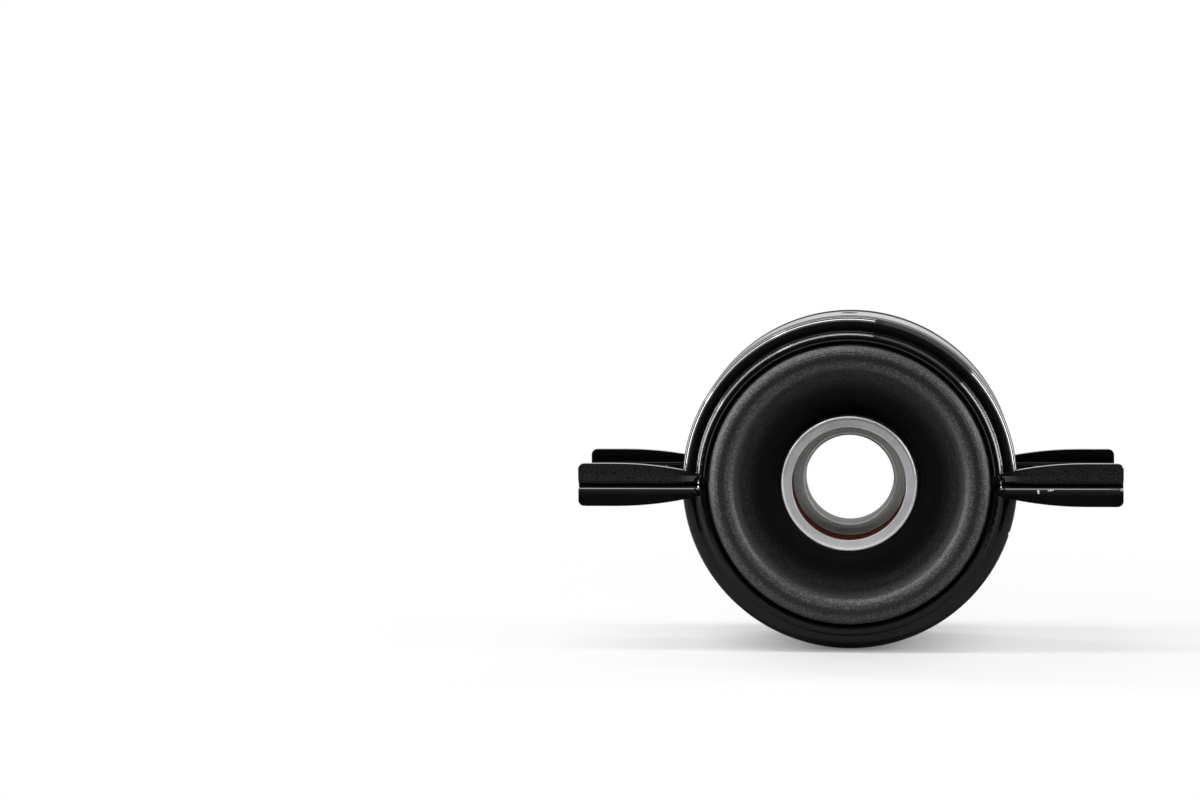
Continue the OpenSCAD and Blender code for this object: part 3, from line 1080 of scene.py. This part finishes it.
def floor_material(stage):
    """Pale floor that keeps the shadow near the object, adds a painted shadow round the foot, and runs out
    into white.
    """
    material, tree, shader = new_material("pale_floor", roughness=0.6, specular_ior_level=0.2)
    grain = use(tree, "Surface grain", scale=160.0, cloud=4.0)
    shade = blend(tree, grain["Mask"], stage.floor_low, stage.floor_high)
    wire(tree, shade, shader.inputs["Base Color"])
    place = place_on_object(tree)
    axes = split_axes(tree, place)
    away = length_of(tree, place)
    foot = add(tree, "ShaderNodeVectorMath", {1: FOOT_STRETCH, 2: FOOT_SHIFT}, operation="MULTIPLY_ADD")
    wire(tree, place, foot.inputs[0])
    near = ramp(tree, away, *FLOOR_AWAY, 0.62, 1.0)
    # Painted shadow: less white near the foot lets the grey floor show
    near = product(tree, near, ramp(tree, length_of(tree, foot.outputs[0]), *FOOT_AWAY, 0.2, 1.0))
    near = calc(tree, "MAXIMUM", near, ramp(tree, axes["Y"], *FLOOR_FRONT))
    far = product(tree, ramp(tree, away, *MIRROR_AWAY), ramp(tree, axes["Y"], *MIRROR_BEHIND))
    seen = add(tree, "ShaderNodeLightPath").outputs
    shown = product(tree, near, seen["Is Camera Ray"])
    shown = calc(tree, "MAXIMUM", shown, product(tree, far, mirrored_rays(tree, seen)))
    white = add(tree, "ShaderNodeEmission", {"Color": WHITE, "Strength": 1.0})
    mixed = mix_shaders(tree, shown, shader.outputs["BSDF"], white.outputs["Emission"])
    wire(tree, mixed, tree.nodes["Material Output"].inputs["Surface"])
    return material


def set_floor(stage):
    """A wide round floor under the bracket."""
    mesh = bpy.data.meshes.new("studio_floor")
    shape = bmesh.new()
    bmesh.ops.create_circle(shape, cap_ends=True, segments=FLOOR_SIDES, radius=FLOOR_R)
    shape.transform(Matrix.Translation((0.0, 0.0, FLOOR_Z - FLOOR_DROP)))
    shape.to_mesh(mesh)
    shape.free()
    mesh.materials.append(floor_material(stage))
    floor = new_object("studio_floor", mesh)


def set_room(stage):
    """A pale room, white where the camera sees it and dark on the camera's side in reflections."""
    world = bpy.data.worlds.new("studio_room")
    bpy.context.scene.world = world
    world.use_nodes = True
    tree = world.node_tree
    tree.nodes.clear()
    axes = split_axes(tree, add(tree, "ShaderNodeTexCoord").outputs["Generated"])
    sides = ramp(tree, axes["Y"], -0.85, -0.3, stage.front, stage.sides)
    backdrop = calc(tree, "ADD", sides, ramp(tree, axes["Y"], 0.2, 0.9, 0.0, 1.0 - stage.sides))
    backdrop = product(tree, backdrop, ramp(tree, axes["Z"], -0.15, 0.12, 0.2, 1.0))
    level = ramp(tree, axes["Z"], -0.3, 0.1, 0.3 * stage.room, stage.room)
    level = product(tree, level, ramp(tree, axes["Y"], -0.8, 0.3, 0.2, 1.0))
    light = add(tree, "ShaderNodeBackground", {"Color": WHITE})
    wire(tree, level, light.inputs["Strength"])
    reflected = add(tree, "ShaderNodeBackground", {"Color": WHITE})
    wire(tree, backdrop, reflected.inputs["Strength"])
    shown = add(tree, "ShaderNodeBackground", {"Color": WHITE, "Strength": 1.0})
    seen = add(tree, "ShaderNodeLightPath").outputs
    glossy = mix_shaders(tree, mirrored_rays(tree, seen), light.outputs[0], reflected.outputs[0])
    mixed = mix_shaders(tree, seen["Is Camera Ray"], glossy, shown.outputs[0])
    wire(tree, mixed, add(tree, "ShaderNodeOutputWorld").inputs["Surface"])


def set_strip(name, angle, place_y, power, stage):
    """A strip lamp at an angle from upright about the shaft, pointed at the middle of the bore."""
    data = bpy.data.lights.new(name, "AREA")
    data.shape = "RECTANGLE"
    data.size = stage.strip_len
    data.size_y = stage.strip_w
    data.energy = power
    place = Vector((stage.arch_r * math.sin(angle), place_y, stage.arch_r * math.cos(angle)))
    along = Vector((math.cos(angle), 0.0, -math.sin(angle)))
    outward = place.normalized()
    turn = Matrix((along, outward.cross(along), outward)).transposed()
    lamp = new_object(name, data)
    lamp.location = place
    lamp.rotation_euler = turn.to_euler()


def set_arch(name, place_y, shares, stage):
    """Strips that stand in an arch over the bearing, from the left foot to the right one."""
    for degrees, share in zip(STRIP_ANGLES, shares):
        set_strip(f"{name}_{degrees}", math.radians(degrees), place_y, stage.arch * share, stage)


def set_camera(stage):
    """The camera at the photograph's view."""
    target = Vector((0.0, FRONT_Y, 0.0))
    level = math.cos(stage.elevation)
    across = math.sin(stage.azimuth) * level
    back = Vector((across, -math.cos(stage.azimuth) * level, math.sin(stage.elevation)))
    right = (-back).cross(Vector((0.0, 0.0, 1.0))).normalized()
    up = right.cross(-back)
    aim = -back - right * (stage.aim_x / stage.focal) + up * (stage.aim_y / stage.focal)
    data = bpy.data.cameras.new("photo_camera")
    data.sensor_width = SENSOR_W
    data.lens = SENSOR_W * stage.focal / FRAME_W
    data.clip_start = CLIP_NEAR
    data.clip_end = CLIP_FAR
    camera = new_object("photo_camera", data)
    turn = aim.to_track_quat("-Z", "Y").to_matrix() @ Matrix.Rotation(stage.roll, 3, "Z")
    camera.location = target + back * stage.distance
    camera.rotation_euler = turn.to_euler()
    bpy.context.scene.camera = camera


# Operators


class BEARING_OT_effects(bpy.types.Operator):
    """Builds the shader groups that the finishes share"""

    bl_idname = "bearing.effects"
    bl_label = "Shared Effects"

    def execute(self, context):
        turning_marks_group()
        grain_group()
        dust_group()
        edge_group()
        chip_group()
        return {"FINISHED"}


class BEARING_OT_bracket(bpy.types.Operator):
    """Paints the two bracket halves"""

    bl_idname = "bearing.bracket"
    bl_label = "Bracket Halves"

    def execute(self, context):
        # Both halves wear one paint in two copies: the upper with a full coat and a paler sheen on its
        # ears, the lower with a thin coat that is full only along the split; the copies paint the light
        # and shade seen on each half
        upper = black_paint(
            "black_paint_upper",
            UPPER_CHIPS,
            coat_ior=1.6,
            gloss_coat=1.0,
            base_gloss=0.0,
            film=0.006,
            ear_dust_and_sheen=0.2,
        )
        lower = black_paint(
            "black_paint_lower",
            LOWER_CHIPS,
            coat_ior=2.2,
            gloss_coat=0.1,
            base_gloss=0.036,
            film=0.004,
            ear_dust_and_sheen=0.03,
        )
        dress(upper, "upper_bracket")
        dress(lower, "lower_bracket")
        return {"FINISHED"}


class BEARING_OT_cushion(bpy.types.Operator):
    """Turns the moulded rubber cushion"""

    bl_idname = "bearing.cushion"
    bl_label = "Rubber Cushion"

    def execute(self, context):
        size = settings("bearing_cushion")
        half = cushion_half_profile(size)
        mirrored = [Vector((p.x, -p.y)) for p in reversed(half)]
        piece = turn_section("moulded_cushion", half + mirrored, size.steps)
        piece.data.materials.append(cushion_rubber())
        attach(piece, "housing")
        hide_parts("rubber_cushion")
        return {"FINISHED"}


class BEARING_OT_covers(bpy.types.Operator):
    """Plates the dust covers and finishes the carrier behind them"""

    bl_idname = "bearing.covers"
    bl_label = "Dust Covers and Carrier"

    def execute(self, context):
        finish = settings("bearing_finish")
        zinc = turned_steel("zinc_plate", finish.zinc, rough=0.42, rings=5200.0, shoulder=COVER_SHOULDER_R)
        dress(zinc, "front_dust_cover", "rear_dust_cover")
        dress(plain_steel("carrier_steel", finish.carrier, rough=0.34), "bearing_carrier")
        return {"FINISHED"}


class BEARING_OT_rings(bpy.types.Operator):
    """Finishes the bearing's rings and seals"""

    bl_idname = "bearing.rings"
    bl_label = "Rings and Seals"

    def execute(self, context):
        finish = settings("bearing_finish")
        ground = turned_steel("bearing_steel", finish.bearing, rough=0.28, rings=GROUND_RINGS)
        dress(ground, "bearing_outer_ring")
        dress(bored_steel(), "bearing_inner_ring")
        dress(seal_rubber(), "front_seal", "rear_seal")
        return {"FINISHED"}


class BEARING_OT_cage(bpy.types.Operator):
    """Finishes the balls and the cage, and sets the cage's domed rivets"""

    bl_idname = "bearing.cage"
    bl_label = "Balls and Cage"

    def execute(self, context):
        size = settings("bearing_rivets")
        finish = settings("bearing_finish")
        dress(plain_steel("ball_steel", finish.balls, rough=0.06), *BALLS)
        strip = plain_steel("cage_steel", finish.cage, rough=0.3)
        dress(strip, "front_cage_half", "rear_cage_half")
        values = {
            "Rivets": size.count,
            "Circle radius": size.circle_r,
            "Shank radius": size.shank_r,
            "Head radius": size.head_r,
            "Head height": size.head_h,
            "Grip": size.grip,
            "Finish": strip,
        }
        piece = made_by_nodes("domed_cage_rivets", rivet_ring_tree(), values)
        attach(piece, "cage")
        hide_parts("cage_rivets")
        return {"FINISHED"}


class BEARING_OT_stage(bpy.types.Operator):
    """Sets the floor, the light and the camera"""

    bl_idname = "bearing.stage"
    bl_label = "Studio Stage"

    def execute(self, context):
        stage = settings("bearing_stage")
        set_floor(stage)
        set_room(stage)
        for name, (place_y, shares) in ARCHES.items():
            set_arch(name, place_y, shares, stage)
        set_camera(stage)
        context.scene.view_settings.view_transform = "Standard"
        return {"FINISHED"}


class BEARING_PT_panel(bpy.types.Panel):
    """Lists the steps that dress the bearing"""

    bl_idname = "BEARING_PT_panel"
    bl_label = "Centre Bearing"
    bl_space_type = "VIEW_3D"
    bl_region_type = "UI"
    bl_category = "Centre Bearing"

    def draw(self, context):
        for step in STEPS:
            self.layout.operator(step.bl_idname)


STEPS = (
    BEARING_OT_effects,
    BEARING_OT_bracket,
    BEARING_OT_cushion,
    BEARING_OT_covers,
    BEARING_OT_rings,
    BEARING_OT_cage,
    BEARING_OT_stage,
)
GROUPS = {
    "bearing_cushion": CushionSettings,
    "bearing_rivets": RivetSettings,
    "bearing_finish": FinishSettings,
    "bearing_stage": StageSettings,
}


def register():
    """Registers the settings, the operators and the panel."""
    for name, group in GROUPS.items():
        bpy.utils.register_class(group)
        setattr(bpy.types.Scene, name, PointerProperty(type=group))
    for cls in (*STEPS, BEARING_PT_panel):
        bpy.utils.register_class(cls)


def unregister():
    """Takes them away again."""
    for cls in (BEARING_PT_panel, *reversed(STEPS)):
        bpy.utils.unregister_class(cls)
    for name, group in GROUPS.items():
        delattr(bpy.types.Scene, name)
        bpy.utils.unregister_class(group)


def main():
    """Dresses the bearing step by step."""
    register()
    bpy.ops.bearing.effects()
    bpy.ops.bearing.bracket()
    bpy.ops.bearing.cushion()
    bpy.ops.bearing.covers()
    bpy.ops.bearing.rings()
    bpy.ops.bearing.cage()
    bpy.ops.bearing.stage()


if __name__ == "__main__":
    main()
